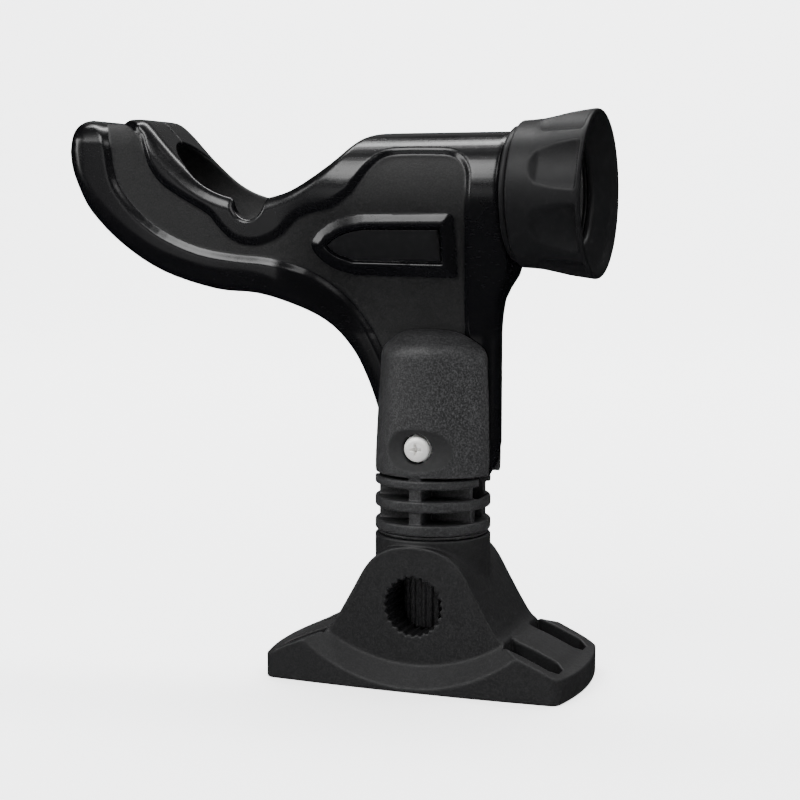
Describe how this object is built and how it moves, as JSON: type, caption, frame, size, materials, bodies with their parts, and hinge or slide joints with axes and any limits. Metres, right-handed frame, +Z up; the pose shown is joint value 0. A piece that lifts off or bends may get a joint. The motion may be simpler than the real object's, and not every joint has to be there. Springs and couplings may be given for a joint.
{
  "type": "fishing rod holder",
  "caption": "Adjustable fishing rod holder: ring-nosed cradle with a screw collar, tilting on a forked post that lifts and turns in a toothed deck base.",
  "frame": {"origin": "middle of the foot's underside, on the swivel axis", "axes": "+Z up along the swivel axis; the rod lies along X, butt towards +X and tip out past the ring nose at -X; -Y is the side with the pivot screw's head"},
  "size_m": [0.2276, 0.0658, 0.2283],
  "materials": {
    "moulded_matte": "fine moulded grain",
    "gloss_black": "gloss",
    "satin_black": "satin",
    "rubber_black": "matte",
    "nylon_white": "natural",
    "stainless": "turned and polished"
  },
  "bodies": {
    "base": {"base": "moulded_matte"},
    "ring": {"swivel_ring": "moulded_matte"},
    "post": {"post_yoke": "moulded_matte", "stub_o_ring": "rubber_black", "pivot_screw": "stainless", "pivot_washer_front": "stainless", "pivot_washer_rear": "stainless", "pivot_nut": "stainless"},
    "holder": {"holder_front_shell": "gloss_black", "holder_rear_shell": "gloss_black", "pivot_bushing": "nylon_white", "friction_disc_front": "rubber_black", "friction_disc_rear": "rubber_black", "rod_tube": "moulded_matte", "gland_ring": "rubber_black", "badge_front": "gloss_black", "badge_rear": "gloss_black", "shell_screw_1": "stainless", "shell_screw_2": "stainless", "shell_screw_3": "stainless", "shell_screw_4": "stainless"},
    "slip": {"thrust_washer": "satin_black"},
    "collar": {"clamp_collar": "satin_black"}
  },
  "joints": [
    {"name": "swivel", "type": "hinge", "parent": "base", "child": "ring", "pos_m": [0, 0, 0.0594], "axis": [0, 0, 1], "continuous": true},
    {"name": "lift", "type": "slide", "parent": "ring", "child": "post", "axis": [0, 0, 1], "range_m": [0, 0.04]},
    {"name": "tilt", "type": "hinge", "parent": "post", "child": "holder", "pos_m": [0, 0, 0.0955], "axis": [0, 1, 0], "range_deg": [-45, 45]},
    {"name": "collar_travel", "type": "slide", "parent": "holder", "child": "slip", "axis": [1, 0, 0], "range_m": [0, 0.003]},
    {"name": "collar_turn", "type": "hinge", "parent": "slip", "child": "collar", "pos_m": [0.053, 0, 0.1955], "axis": [1, 0, 0], "range_deg": [0, 360]}
  ],
  "couplings": [
    {"joint": "collar_travel", "follows": "collar_turn", "m_per_rad": 0.00047746}
  ]
}
